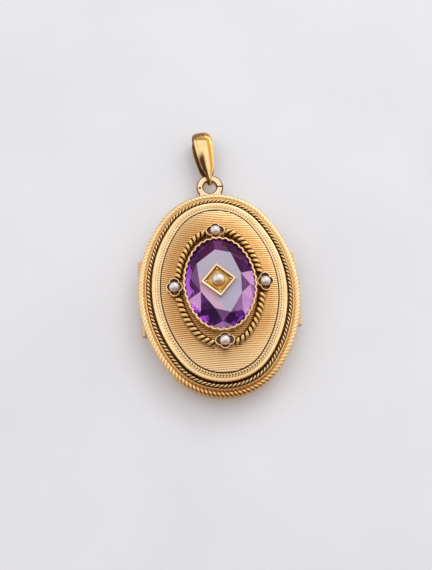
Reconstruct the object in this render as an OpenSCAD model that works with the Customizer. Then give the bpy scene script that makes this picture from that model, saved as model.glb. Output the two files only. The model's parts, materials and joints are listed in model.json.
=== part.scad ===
// Photo locket: an oval hinged gold case with an engine-turned front, rope borders,
// an oval amethyst in a scalloped bezel, four pearls in collets and a pearl plaque.
// It lies on its back. +Z comes out of the front, +Y points to the hanging loop.

/* [Case] */
// Half width of the front panel, inside its raised border
panel_half_width = 11.1; // [10.9:0.05:11.4]
// How much longer than wide the panel is, at each end
panel_stretch = 5.2; // [5:0.05:5.5]
// Height of the seam between the back and the cover
seam_z = 2.9; // [2.85:0.01:2.95]
// Thickness of the back and of the front plate
sheet = 0.5; // [0.4:0.05:0.55]
// Rise of the domed front panel above its edge
dome_rise = 1.4; // [1.2:0.05:1.6]

/* [Stone] */
// Width of the amethyst across its girdle
stone_width = 12.86; // [12.6:0.02:12.9]
// Length of the amethyst
stone_length = 17.66; // [17.2:0.02:17.7]
// Number of scallops round the bezel
scallops = 40; // [24:2:48]

/* [Ornament] */
// Diameter of each of the four outer pearls
pearl_diameter = 2; // [1.9:0.02:2.1]
// Diameter of the pearl on the plaque
plaque_pearl_diameter = 2.56; // [2.3:0.02:2.7]
// Side of the square plaque
plaque_side = 4.6; // [4.2:0.05:4.8]
// Radius of the rope round the border
border_rope_radius = 0.39; // [0.3:0.01:0.39]
// Strand bumps round the border rope
border_lobes = 128; // [96:2:140]
// Radius of the rope of the wreath
wreath_rope_radius = 0.74; // [0.6:0.01:0.76]
// Strand bumps on each quarter of the wreath
wreath_lobes = 11; // [8:1:13]

/* [Hanging loop] */
// Radius of the hole in the fixed ring
ring_hole_radius = 1.27; // [1.25:0.01:1.3]
// Reach of the bail from the ring's wire to its top
bail_reach = 10.3; // [9.5:0.05:10.6]
// Sideways lean of the bail, in degrees
bail_lean = 6; // [0:1:10]
// Where on the ring the bail hangs, in degrees to the right of the ring's top
bail_seat = 1; // [0:0.25:1.5]

/* [Hinge] */
// Outer radius of the knuckles
knuckle_radius = 0.55; // [0.5:0.01:0.56]
// Length of one of the five knuckles
knuckle_length = 3; // [2.6:0.05:3]
// Radius of the pin
pin_radius = 0.27; // [0.2:0.01:0.27]

/* [Hidden] */
$fn = 72;

// Small gap between pieces that are set together
gap = 0.03;

// Every oval is four arcs that meet on the long sides of 3-4-5 triangles
corner_angle = atan(3 / 4);
function side_radius(half_width, stretch) = half_width + 2 * stretch;
function end_radius(half_width, stretch) = half_width - stretch / 2;

panel_half_length = panel_half_width + panel_stretch;
panel_side_radius = side_radius(panel_half_width, panel_stretch);
bezel_half_width = stone_width / 2 + 0.37;
bezel_stretch = (stone_length - stone_width) / 2;
bezel_taper = 0.15;
wreath_half_width = bezel_half_width + 1;
wreath_stretch = 3.5;

// Heights above the back
ledge_z = seam_z - 0.98;
collar_top_z = seam_z + 0.5;
rim_low_z = seam_z + 0.7;
rim_top_z = seam_z + 1.05;
cover_ledge_z = seam_z + 1.15;
channel_z = seam_z + 1.65;
plate_low_z = seam_z + 2.1;
plate_top_z = plate_low_z + sheet;
panel_edge_z = seam_z + 2.8;
collet_top_z = panel_edge_z + 2.6;
bezel_top_z = panel_edge_z + 3.3;
girdle_z = bezel_top_z - 0.55;
girdle_height = 0.14;
table_z = girdle_z + 1.25;
culet_z = plate_top_z + 0.1;

// Corners of the old, uneven table, as [angle round the stone, share of the way to the girdle]
table_corners = [
    [14, 0.63], [60, 0.73], [96, 0.72], [146, 0.76], [199, 0.61], [250, 0.62], [288, 0.72], [334, 0.65]
];

plaque_z = table_z + gap;
plaque_place = [-0.33, 0.1];
plaque_turn = 48;
plaque_height = 0.7;
plaque_floor = 0.3;

// Distances outside the panel's edge
collar_u = 2.35;
wall_u = 3.75;
frame_inner_u = -0.3;
dome_edge_u = -0.25;
border_rope_u = 2.08;
hinge_u = 3.3;

hinge_x = -(panel_half_width + hinge_u);
knuckle_gap = 0.06;
pin_clearance = 0.03;
notch_clearance = 0.07;
hinge_half_length = 2.5 * knuckle_length;
lip_half_length = hinge_half_length - 0.2;

// Each collet is a cup of four lobes on a narrower foot. The lobes toward the stone and away are shorter
pearl_radius = pearl_diameter / 2;
pearl_sink = 0.35;
lobe_radius = 0.95;
lobe_offset = 0.85;
short_offset = 0.6;
foot_lobe_radius = 0.7;
collet_reach = lobe_radius + lobe_offset;
collet_clearance = 0.04;
collet_x = bezel_half_width + lobe_radius + short_offset + collet_clearance;
collet_y = collet_x + bezel_stretch;
cup_low_z = collet_top_z - 0.8;
cup_floor_z = collet_top_z - 0.55;

// Places of the collets, as [x, y, turn]
top_place = [0, collet_y, 90];
right_place = [collet_x, 0, 0];
bottom_place = [0, -collet_y, 90];
left_place = [-collet_x, 0, 0];

ring_half_width = 0.69;
ring_half_height = 0.55;
ring_section_radius = 0.75;
ring_radius = ring_hole_radius + ring_half_width;
ring_z = seam_z - 0.05 - ring_half_height;
ring_foot_y = panel_half_length + wall_u - 0.9;
ring_y = ring_foot_y + 3.47;
ring_foot_half_width = 2.2;

// Section of the back, as [distance outside the panel's edge, height]
back_curve_radius = 3.89;
back_curve_start = 0.3;
back_section = function (inner) [
    [inner, 0],
    for (turn = [0:12:60]) [
        back_curve_start + back_curve_radius * sin(turn),
        back_curve_radius * (1 - cos(turn))
    ],
    [wall_u - 0.05, 2],
    [wall_u, 2.02],
    [wall_u + 0.1, 2.1],
    [wall_u + 0.1, 2.25],
    [wall_u, 2.33],
    [wall_u, seam_z],
    [collar_u + 0.3, seam_z],
    [collar_u + 0.3, collar_top_z],
    [collar_u, collar_top_z],
    [collar_u, ledge_z],
    [collar_u - 0.6, ledge_z],
    [collar_u - 0.6, ledge_z - 0.47],
    [0.4, sheet],
    [inner, sheet]
];

// Section of the cover, as [distance outside the panel's edge, height]
cover_section = function (inner) [
    [inner, plate_low_z],
    [1, plate_low_z],
    [1, cover_ledge_z],
    [collar_u, cover_ledge_z],
    [collar_u, collar_top_z + 0.08],
    [collar_u + 0.35, collar_top_z + 0.08],
    [collar_u + 0.35, seam_z],
    [wall_u, seam_z],
    [wall_u, rim_low_z],
    [4.02, rim_low_z],
    [4.1, rim_low_z + 0.08],
    [4.1, rim_top_z - 0.08],
    [4.03, rim_top_z + 0.06],
    [3.92, rim_top_z + 0.28],
    [3.7, channel_z - 0.12],
    [3.4, channel_z - 0.01],
    [3.1, channel_z - 0.06],
    [2.9, channel_z - 0.2],
    [2.8, channel_z - 0.14],
    [2.7, channel_z + 0.04],
    [2.64, channel_z + 0.19],
    [2.55, channel_z + 0.19],
    [2.5, channel_z],
    [1.35, channel_z],
    [1.35, channel_z + 0.35],
    [1.5, panel_edge_z - 0.6],
    [1.5, panel_edge_z - 0.35],
    [1.4, panel_edge_z - 0.12],
    [1.2, panel_edge_z],
    [1.1, panel_edge_z - 0.04],
    [1.02, panel_edge_z],
    [0.5, panel_edge_z + 0.08],
    [0, panel_edge_z + 0.02],
    [-0.05, panel_edge_z],
    [-0.05, plate_top_z],
    [inner, plate_top_z]
];

// The domed panel is the top of a barrel: a long arc turned about a line along Y
dome_along = (panel_half_length ^ 2 + dome_rise ^ 2) / (2 * dome_rise);
dome_across = (panel_half_width ^ 2 + dome_rise ^ 2) / (2 * dome_rise);
dome_axis_z = panel_edge_z + dome_rise - dome_across;
function dome_z(x, y) =
    let (reach = dome_across - dome_along + sqrt(dome_along ^ 2 - y ^ 2))
    dome_axis_z + sqrt(reach ^ 2 - x ^ 2);

// Width of the bail, as [distance from the ring's wire, width]
bail_widths = [
    [-1.3, 0.75], [0, 0.95], [0.6, 1.4], [1.9, 2.6], [4, 3.35], [6, 3.85], [7.2, 4], [8.4, 3.85],
    [9.2, 3.4], [10, 3.2]
];
bail_widest = 4;
bail_edge = 0.25;
bail_crown = 0.1;
bail_low_radius = ring_section_radius + 0.28;
bail_top_radius = ring_z - bail_edge - bail_crown * bail_widest;
bail_length = bail_reach - ring_z;

// Place on an oval at a share of its way round, as [x, y, heading out of the oval]
function oval_place(half_width, stretch, share) =
    let (
        side = side_radius(half_width, stretch),
        end = end_radius(half_width, stretch),
        side_run = side * corner_angle,
        quarter = side_run + end * (90 - corner_angle),
        run = share * 4 * quarter,
        quadrant = floor(run / quarter + 1e-9) % 4,
        rest = run - floor(run / quarter + 1e-9) * quarter,
        way = quadrant % 2 == 0 ? rest : quarter - rest,
        turn = way < side_run ? way / side : corner_angle + (way - side_run) / end,
        x = way < side_run ? side * cos(turn) - 2 * stretch : end * cos(turn),
        y = way < side_run ? side * sin(turn) : end * sin(turn) + 1.5 * stretch,
        left = quadrant == 1 || quadrant == 2,
        low = quadrant >= 2
    )
    [
        left ? -x : x,
        low ? -y : y,
        quadrant == 0 ? turn : quadrant == 1 ? 180 - turn : quadrant == 2 ? 180 + turn : -turn
    ];

// Length of a quarter of an oval
function oval_quarter(half_width, stretch) =
    PI / 180 * (side_radius(half_width, stretch) * corner_angle
    + end_radius(half_width, stretch) * (90 - corner_angle));

// Point at a distance out of an oval's place, and at a height
function off_oval(place, distance, z) =
    [place[0] + distance * cos(place[2]), place[1] + distance * sin(place[2]), z];

// One arc of an oval: a full turn of the section, cut down to a wedge from the arc's middle
module oval_arc(middle, radius, spread, section) {
    reach = 60;
    intersection() {
        translate([middle, 0, 0])
            rotate(180) rotate_extrude()
                translate([radius, 0]) polygon(section(-radius));
        translate([0, 0, -5])
            linear_extrude(30)
                polygon([
                    [middle, 0],
                    [middle + reach * spread[0], -reach * spread[1]],
                    [middle + reach * spread[0], reach * spread[1]]
                ]);
    }
}

// Section carried round an oval. It is a function of where the middle of each arc lies
module oval_sweep(half_width, stretch, section) {
    for (turn = [0, 180])
        rotate(turn)
            oval_arc(-2 * stretch, side_radius(half_width, stretch), [0.8, 0.6], section);
    for (turn = [90, 270])
        rotate(turn)
            oval_arc(1.5 * stretch, end_radius(half_width, stretch), [0.6, 0.8], section);
}

// Upright oval block
module oval_prism(half_width, stretch, low_z, high_z) {
    oval_sweep(half_width, stretch,
        function (inner) [[inner, low_z], [0, low_z], [0, high_z], [inner, high_z]]);
}

// Skin over rings of points, as a closed loop or with both ends capped
module ring_skin(rings, closed) {
    sides = len(rings[0]);
    count = len(rings);
    walls = [
        for (i = [0:count - (closed ? 1 : 2)], k = [0:sides - 1])
            let (j = (i + 1) % count, next = (k + 1) % sides)
            each [
                [i * sides + k, i * sides + next, j * sides + next],
                [i * sides + k, j * sides + next, j * sides + k]
            ]
    ];
    caps = closed ? [] : [
        [for (k = [sides - 1:-1:0]) k],
        [for (k = [0:sides - 1]) (count - 1) * sides + k]
    ];
    polyhedron([for (ring = rings) each ring], concat(walls, caps), convexity = 8);
}

// One ring of a rope of two twisted strands
function rope_ring(place, distance, z, radius, twist, sides) = [
    for (k = [0:sides - 1])
        let (
            angle = 360 * k / sides,
            reach = radius * (0.75 + 0.25 * cos(2 * (angle - twist)))
        )
        off_oval(place, distance + reach * cos(angle), z + reach * sin(angle))
];

// Straight lip along the right side, trimmed to start inside the wall
module side_lip(low_z, height) {
    outer_x = panel_half_width + wall_u + 0.1;
    difference() {
        hull()
            for (y = [-1, 1])
                translate([outer_x - 1.2, y * (lip_half_length - 0.25), low_z])
                    linear_extrude(height) {
                        translate([0.95, 0]) circle(r = 0.25, $fn = 24);
                        translate([0, -0.25]) square([0.5, 0.5]);
                    }
        translate([-2 * panel_stretch, 0, low_z - 1])
            cylinder(r = panel_side_radius + 3.1, h = height + 2);
    }
}

// Places along the hinge of the knuckles of one half
case_knuckles = [-2, 0, 2];
cover_knuckles = [-1, 1];

module along_hinge(y, length)
    translate([hinge_x, y - length / 2, seam_z]) rotate([-90, 0, 0]) children();

// Knuckles of one half, each with the block that joins it to the wall
module knuckles(indexes, block_low_z, block_high_z, block_out) {
    length = knuckle_length - knuckle_gap;
    for (index = indexes) {
        along_hinge(index * knuckle_length, length) cylinder(r = knuckle_radius, h = length);
        difference() {
            translate([hinge_x - block_out, index * knuckle_length - length / 2, block_low_z])
                cube([block_out + 2, length, block_high_z - block_low_z]);
            translate([2 * panel_stretch, 0, block_low_z - 1])
                cylinder(r = panel_side_radius + 3, h = block_high_z - block_low_z + 2);
        }
    }
}

module hinge_bore() {
    along_hinge(0, 2 * hinge_half_length + 2)
        cylinder(r = pin_radius + pin_clearance, h = 2 * hinge_half_length + 2);
}

// Fixed ring that the bail hangs in, with its square foot
module hanging_ring() {
    difference() {
        translate([-ring_foot_half_width, ring_foot_y, ring_z - ring_half_height])
            cube([2 * ring_foot_half_width, ring_y - ring_foot_y, 2 * ring_half_height]);
        translate([0, ring_y, ring_z - 1]) cylinder(r = ring_radius, h = 2);
    }
    translate([0, ring_y, ring_z])
        rotate_extrude()
            translate([ring_radius, 0])
                intersection() {
                    circle(r = ring_section_radius);
                    square([2 * ring_half_width, 2 * ring_half_height], center = true);
                }
}

// Closing seam and punched pit on the front of the ring
module ring_marks() {
    seam_width = 0.24;
    pit_radius = 0.2;
    depth = 0.3;
    past = 0.2;
    low_z = ring_z + ring_half_height - depth;
    translate([ring_hole_radius - past, ring_y - seam_width / 2, low_z])
        cube([2 * ring_half_width + 3 * past, seam_width, 2 * depth]);
    translate([-ring_radius, ring_y - 0.1, low_z]) cylinder(r = pit_radius, h = 2 * depth);
}

module back_case() {
    notch_length = 2 * hinge_half_length + 0.12;
    color("goldenrod")
    difference() {
        union() {
            difference() {
                oval_sweep(panel_half_width, panel_stretch, back_section);
                along_hinge(0, notch_length)
                    cylinder(r = knuckle_radius + notch_clearance, h = notch_length);
            }
            side_lip(seam_z - 0.6, 0.45);
            knuckles(case_knuckles, seam_z - 0.75, seam_z - 0.05, 0);
            hanging_ring();
        }
        hinge_bore();
        ring_marks();
    }
}

// Flat frame in the recess of one half. Its inner edge is bevelled on the open side
module photo_frame(seat_z, open_side) {
    thickness = 0.4;
    bevel = [0.2, 0.15];
    far_z = seat_z + open_side * thickness;
    low_z = min(seat_z, far_z);
    color("gold")
    difference() {
        oval_prism(panel_half_width + collar_u - 0.05, panel_stretch, low_z, low_z + thickness);
        oval_sweep(panel_half_width, panel_stretch, function (inner) [
            [inner, seat_z - open_side],
            [frame_inner_u, seat_z - open_side],
            [frame_inner_u, far_z - open_side * bevel[1]],
            [frame_inner_u + bevel[0], far_z],
            [frame_inner_u + bevel[0], far_z + open_side],
            [inner, far_z + open_side]
        ]);
    }
}

module photo_frame_back() photo_frame(ledge_z + gap, 1);
module photo_frame_cover() photo_frame(cover_ledge_z - gap, -1);

module hinge_pin() {
    length = 2 * hinge_half_length - 0.1;
    color("peru")
    along_hinge(0, length) cylinder(r = pin_radius, h = length);
}

// Four lobes round a middle, as a flat outline
module quatrefoil(radius, middle) {
    for (side = [-1, 1]) {
        translate([side * short_offset, 0]) circle(r = radius);
        translate([0, side * lobe_offset]) circle(r = radius);
    }
    circle(r = middle);
}

module dome() {
    depth = 4;
    intersection() {
        translate([0, 0, dome_axis_z])
            rotate([90, 0, 0])
                rotate_extrude(angle = 60, start = 60, $fn = 360)
                    intersection() {
                        translate([dome_across - dome_along, 0])
                            circle(r = dome_along, $fn = 720);
                        translate([dome_across - depth, -panel_half_length - 4])
                            square([2 * depth, 2 * panel_half_length + 8]);
                    }
        oval_prism(panel_half_width + dome_edge_u, panel_stretch,
            plate_top_z - 0.2, panel_edge_z + dome_rise + 1);
    }
}

module cover() {
    notch_length = 2 * hinge_half_length + 0.12;
    notch_in = knuckle_radius + notch_clearance;
    color("goldenrod")
    difference() {
        union() {
            difference() {
                union() {
                    oval_sweep(panel_half_width, panel_stretch, cover_section);
                    dome();
                }
                translate([hinge_x - 1, -notch_length / 2, seam_z - 0.1])
                    cube([1 + notch_in, notch_length, 0.78]);
            }
            side_lip(seam_z + 0.25, 0.45);
            knuckles(cover_knuckles, seam_z, rim_low_z + 0.12, 0.35);
        }
        hinge_bore();
        oval_prism(bezel_half_width - bezel_taper + gap, bezel_stretch, plate_top_z, bezel_top_z);
        for (place = [top_place, right_place, bottom_place, left_place])
            translate([place[0], place[1], plate_top_z])
                rotate(place[2])
                    linear_extrude(2) quatrefoil(foot_lobe_radius + gap, foot_lobe_radius + 0.25);
    }
}

module rope_border() {
    rings_per_lobe = 3;
    count = border_lobes * rings_per_lobe;
    color("khaki")
    ring_skin([
        for (i = [0:count - 1])
            rope_ring(
                oval_place(panel_half_width, panel_stretch, i / count),
                border_rope_u, channel_z + border_rope_radius + 0.02,
                border_rope_radius, 180 * i / rings_per_lobe, 6)
    ], true);
}

module rope_wreath() {
    rings_per_lobe = 4;
    count = wreath_lobes * rings_per_lobe;
    quarter = oval_quarter(wreath_half_width, wreath_stretch);
    clear = (collet_reach + 0.08) / quarter;
    color("khaki")
    for (quadrant = [0:3])
        ring_skin([
            for (i = [0:count])
                let (
                    share = (quadrant + clear + (1 - 2 * clear) * i / count) / 4,
                    place = oval_place(wreath_half_width, wreath_stretch, share),
                    low_z = max(
                        dome_z(place[0], place[1]),
                        dome_z(place[0] - wreath_rope_radius * cos(place[2]),
                            place[1] - wreath_rope_radius * sin(place[2])) - 0.1)
                )
                rope_ring(place, 0, low_z + wreath_rope_radius + gap,
                    wreath_rope_radius, 180 * i / rings_per_lobe, 8)
        ], false);
}

module stone_bezel() {
    columns_per_scallop = 3;
    count = scallops * columns_per_scallop;
    low_z = plate_top_z + gap;
    color("gold")
    ring_skin([
        for (i = [0:count - 1])
            let (
                place = oval_place(bezel_half_width, bezel_stretch, i / count),
                bulge = sin(180 * (i % columns_per_scallop) / columns_per_scallop),
                section = [
                    [-bezel_taper, low_z],
                    [-bezel_taper, bezel_top_z - 1.5],
                    [0, bezel_top_z - 0.8],
                    [0.02 * bulge, bezel_top_z - 0.22],
                    [0.1 * bulge - 0.18, bezel_top_z],
                    [0.3 * bulge - 0.6, bezel_top_z - 0.05],
                    [-0.28, bezel_top_z - 0.32],
                    [-0.28, girdle_z - 0.03],
                    [-0.75, girdle_z - 0.3],
                    [-0.75, low_z]
                ]
            )
            [for (point = section) off_oval(place, point[0], point[1])]
    ], true);
}

// Oval brilliant: table, 8 stars, 8 kites, 16 upper and 16 lower halves and 8 mains
module amethyst() {
    star_share = 0.86;
    lower_share = 0.3;
    girdle_top_z = girdle_z + girdle_height;
    crown_height = table_z - girdle_top_z;
    lower_z = girdle_z - (girdle_z - culet_z) * (1 - lower_share);
    function at(reach, angle, z) =
        [stone_width / 2 * reach * cos(angle), stone_length / 2 * reach * sin(angle), z];
    function corner_angle_at(k) = table_corners[k % 8][0] + (k > 7 ? 360 : 0);
    function middle_angle(k) = (corner_angle_at(k) + corner_angle_at(k + 1)) / 2;
    // Height at the star point after a corner, on the kite that hangs from the given corner
    function kite_z(k, corner) =
        let (spread = (corner_angle_at(k + 1) - corner_angle_at(k)) / 2)
        girdle_top_z + crown_height * (1 - star_share * cos(spread))
            / (1 - table_corners[corner % 8][1]);
    table = [for (k = [0:7]) at(table_corners[k][1], corner_angle_at(k), table_z)];
    stars = [for (k = [0:7]) at(star_share, middle_angle(k), (kite_z(k, k) + kite_z(k, k + 1)) / 2)];
    function girdle_ring(z) =
        [for (k = [0:7], angle = [corner_angle_at(k), middle_angle(k)]) at(1, angle, z)];
    halves = [for (k = [0:7]) at(lower_share, middle_angle(k), lower_z)];
    star_at = 8;
    upper_at = 16;
    lower_at = 32;
    half_at = 48;
    culet_at = 56;
    faces = [
        [for (k = [7:-1:0]) k],
        for (k = [0:7]) each let (
            next = (k + 1) % 8,
            before = (k + 7) % 8,
            mid = 2 * k + 1,
            far = (2 * k + 2) % 16
        ) [
            [k, next, star_at + k],
            [k, star_at + k, upper_at + 2 * k],
            [k, upper_at + 2 * k, star_at + before],
            [star_at + k, upper_at + mid, upper_at + 2 * k],
            [star_at + k, upper_at + far, upper_at + mid],
            [half_at + k, lower_at + 2 * k, lower_at + mid],
            [half_at + k, lower_at + mid, lower_at + far],
            [culet_at, half_at + before, lower_at + 2 * k],
            [culet_at, lower_at + 2 * k, half_at + k]
        ],
        for (k = [0:15]) let (next = (k + 1) % 16) each [
            [upper_at + k, upper_at + next, lower_at + next],
            [upper_at + k, lower_at + next, lower_at + k]
        ]
    ];
    color("mediumpurple")
    polyhedron(
        concat(table, stars, girdle_ring(girdle_top_z), girdle_ring(girdle_z), halves, [[0, 0, culet_z]]),
        faces);
}

// Square plaque on its corner, with a raised border and a bead in each corner
module plaque() {
    border = 0.42;
    bead_radius = 0.3;
    bead_place = plaque_side / 2 - border - bead_radius - 0.02;
    color("gold")
    translate([plaque_place[0], plaque_place[1], plaque_z]) rotate(plaque_turn) {
        difference() {
            translate([-plaque_side / 2, -plaque_side / 2, 0])
                cube([plaque_side, plaque_side, plaque_height]);
            translate([border - plaque_side / 2, border - plaque_side / 2, plaque_floor])
                cube([plaque_side - 2 * border, plaque_side - 2 * border, plaque_height]);
        }
        for (turn = [0:90:270])
            rotate(turn) translate([bead_place, bead_place, plaque_floor / 2])
                cylinder(r = bead_radius, h = 0.4);
    }
}

// Pearl with a flat underside, a little below its middle
module bead(place, low_z, radius, sink) {
    color("ivory")
    translate([place[0], place[1], low_z])
        intersection() {
            translate([0, 0, sink]) sphere(r = radius);
            translate([-2 * radius, -2 * radius, 0]) cube(4 * radius);
        }
}

module centre_pearl() bead(plaque_place, plaque_z + plaque_floor + gap, plaque_pearl_diameter / 2, 0.1);
module pearl(place) bead(place, cup_floor_z + gap, pearl_radius, pearl_sink);

module collet(place) {
    wall = 0.18;
    claw_radius = 0.16;
    claw_place = pearl_radius + claw_radius + 0.05;
    color("gold")
    translate([place[0], place[1], 0]) rotate(place[2]) {
        difference() {
            union() {
                translate([0, 0, plate_top_z + gap])
                    linear_extrude(cup_low_z - plate_top_z)
                        quatrefoil(foot_lobe_radius, foot_lobe_radius + 0.2);
                translate([0, 0, cup_low_z])
                    linear_extrude(collet_top_z - cup_low_z)
                        quatrefoil(lobe_radius, lobe_radius + 0.2);
            }
            translate([0, 0, cup_floor_z])
                linear_extrude(2) quatrefoil(lobe_radius - wall, lobe_radius + 0.15);
        }
        for (turn = [45:90:315])
            rotate(turn) translate([claw_place, 0, cup_floor_z - 0.1])
                cylinder(r = claw_radius, h = collet_top_z - cup_floor_z + 0.25);
    }
}

// Folded, crowned leaf that loops through the ring and widens to its top
module bail() {
    lean_angle = acos((bail_low_radius - bail_top_radius) / bail_length);
    low_steps = 10;
    leg_steps = 10;
    top_steps = 16;
    function on_circle(y, radius, angle) = [y + radius * cos(angle), radius * sin(angle), angle];
    low_arc = [
        for (i = [0:low_steps])
            on_circle(0, bail_low_radius, lean_angle + (360 - 2 * lean_angle) * i / low_steps)
    ];
    top_arc = [
        for (i = [0:top_steps])
            on_circle(bail_length, bail_top_radius, lean_angle * (2 * i / top_steps - 1))
    ];
    function leg(from, to) = [
        for (i = [1:leg_steps - 1])
            let (share = i / leg_steps)
            [from[0] + (to[0] - from[0]) * share, from[1] + (to[1] - from[1]) * share, from[2]]
    ];
    path = concat(
        low_arc, leg(low_arc[low_steps], top_arc[0]),
        top_arc, leg(top_arc[top_steps], low_arc[0]));
    color("gold")
    translate([ring_radius * sin(bail_seat), ring_y + ring_radius * cos(bail_seat), ring_z])
        rotate(bail_lean)
            ring_skin([
                for (place = path)
                    let (
                        width = lookup(place[0], bail_widths),
                        section = [
                            for (across = [-1, -0.65, 0, 0.65, 1])
                                [bail_edge + bail_crown * width * (1 - across ^ 4),
                                    across * width / 2],
                            [0, width / 2],
                            [0, -width / 2]
                        ]
                    )
                    [
                        for (point = section)
                            [point[1], place[0] + point[0] * cos(place[2]),
                                place[1] + point[0] * sin(place[2])]
                    ]
            ], true);
}

back_case();
photo_frame_back();
hinge_pin();
cover();
photo_frame_cover();
rope_border();
rope_wreath();
stone_bezel();
amethyst();
plaque();
centre_pearl();
collet(top_place);  // collet_top
collet(right_place);  // collet_right
collet(bottom_place);  // collet_bottom
collet(left_place);  // collet_left
pearl(top_place);  // pearl_top
pearl(right_place);  // pearl_right
pearl(bottom_place);  // pearl_bottom
pearl(left_place);  // pearl_left
bail();
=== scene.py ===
"""Photo locket with an amethyst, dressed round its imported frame. Shapes are worked out in millimetres."""
import json
from math import acos, asin, atan2, cos, hypot, pi, radians, sin, sqrt

import bmesh
import bpy
import numpy as np
from mathutils import Matrix, Vector

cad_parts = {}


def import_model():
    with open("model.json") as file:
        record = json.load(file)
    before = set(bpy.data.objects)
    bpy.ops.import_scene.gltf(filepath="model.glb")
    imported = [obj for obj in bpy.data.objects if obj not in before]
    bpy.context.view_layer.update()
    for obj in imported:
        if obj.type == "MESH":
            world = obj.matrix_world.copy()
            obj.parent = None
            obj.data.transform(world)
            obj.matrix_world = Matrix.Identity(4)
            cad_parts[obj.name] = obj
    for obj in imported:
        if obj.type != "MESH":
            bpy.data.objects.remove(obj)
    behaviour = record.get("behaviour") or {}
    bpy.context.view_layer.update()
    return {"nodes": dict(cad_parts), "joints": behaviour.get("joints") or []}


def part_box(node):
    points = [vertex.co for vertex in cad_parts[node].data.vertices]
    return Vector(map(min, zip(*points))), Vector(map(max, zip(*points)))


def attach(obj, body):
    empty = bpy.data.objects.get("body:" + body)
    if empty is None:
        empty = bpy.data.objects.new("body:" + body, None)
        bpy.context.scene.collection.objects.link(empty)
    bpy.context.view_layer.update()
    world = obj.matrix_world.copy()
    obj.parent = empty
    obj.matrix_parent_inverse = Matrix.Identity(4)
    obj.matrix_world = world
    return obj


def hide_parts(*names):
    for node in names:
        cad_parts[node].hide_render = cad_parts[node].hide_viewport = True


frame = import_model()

MM = 0.001


def box_mm(node):
    """Lowest and highest corner of a node of the frame."""
    low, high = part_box(node)
    return np.array(low) / MM, np.array(high) / MM


def joint_mm(name):
    """Place and axis of a joint of the frame."""
    joint = next(joint for joint in frame["joints"] if joint["name"] == name)
    return np.array(joint["pos_m"]) / MM, joint["axis"]


# Distances outside the panel's edge
FRAME_U = 2.3
COLLAR_U = 2.35
WALL_U = 3.75
DOME_U = -0.25

# Driving sizes, from the frame
(HINGE_X, _, SEAM_Z), _ = joint_mm("cover_hinge")
BAIL_PIVOT, BAIL_AXIS = joint_mm("bail_swing")
FRAME_HIGH = box_mm("photo_frame_cover")[1]
PANEL_HALF_WIDTH = FRAME_HIGH[0] - FRAME_U
PANEL_HALF_LENGTH = FRAME_HIGH[1] - FRAME_U
PANEL_STRETCH = PANEL_HALF_LENGTH - PANEL_HALF_WIDTH
STONE_LOW, STONE_HIGH = box_mm("amethyst")
STONE_HALF_WIDTH = STONE_HIGH[0]
STONE_STRETCH = STONE_HIGH[1] - STONE_HIGH[0]
WREATH_HIGH = box_mm("rope_wreath")[1]
PIN_HALF_LENGTH = box_mm("hinge_pin")[1][1]

# Heights
GAP = 0.03
SHEET = 0.5
LEDGE_Z = SEAM_Z - 0.98
COLLAR_TOP_Z = SEAM_Z + 0.5
RIM_LOW_Z = SEAM_Z + 0.7
RIM_TOP_Z = SEAM_Z + 1.05
COVER_LEDGE_Z = SEAM_Z + 1.15
CHANNEL_Z = SEAM_Z + 1.65
PLATE_LOW_Z = SEAM_Z + 2.1
PLATE_TOP_Z = PLATE_LOW_Z + SHEET
EDGE_Z = SEAM_Z + 2.8
DOME_RISE = 1.4
BEZEL_TOP_Z = EDGE_Z + 3.3
GIRDLE_Z = BEZEL_TOP_Z - 0.55
GIRDLE_HEIGHT = 0.14

# Hinge and hanging ring
KNUCKLE_RADIUS = 0.55
KNUCKLE_GAP = 0.06
KNUCKLE_LENGTH = (PIN_HALF_LENGTH + 0.05) / 2.5
NOTCH_RADIUS = KNUCKLE_RADIUS + 0.07
NOTCH_HALF_LENGTH = PIN_HALF_LENGTH + 0.11
LIP_HALF_LENGTH = PIN_HALF_LENGTH - 0.15
RING_HOLE_RADIUS = 1.27
RING_HALF_WIDTH = 0.69
RING_HALF_HEIGHT = 0.55
RING_RADIUS = RING_HOLE_RADIUS + RING_HALF_WIDTH
RING_FOOT_Y = PANEL_HALF_LENGTH + WALL_U - 0.9
RING_FOOT_HALF_WIDTH = 2.2
RING_Y = RING_FOOT_Y + 3.47
RING_Z = BAIL_PIVOT[2]


# Curves

def held(value):
    """Value held between 0 and 1."""
    return np.clip(value, 0, 1)


def past(value, start, fade):
    """0 up to start, then rising to 1 over fade."""
    return held((value - start) / fade)


def before(value, stop, fade):
    """1, then falling over fade to 0 at stop."""
    return held((stop - value) / fade)


def full_turn(count):
    """Angles at even steps all the way round."""
    return np.linspace(0, 2 * pi, count, endpoint=False)


def joined(*values):
    """Joins single values, or arrays of them, into rows."""
    return np.stack(np.broadcast_arrays(*values), -1)


def around(middle, reach, turns):
    """Both coordinates of points at a reach from a middle, in the directions of turns."""
    return middle[0] + reach * np.cos(turns), middle[1] + reach * np.sin(turns)


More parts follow.
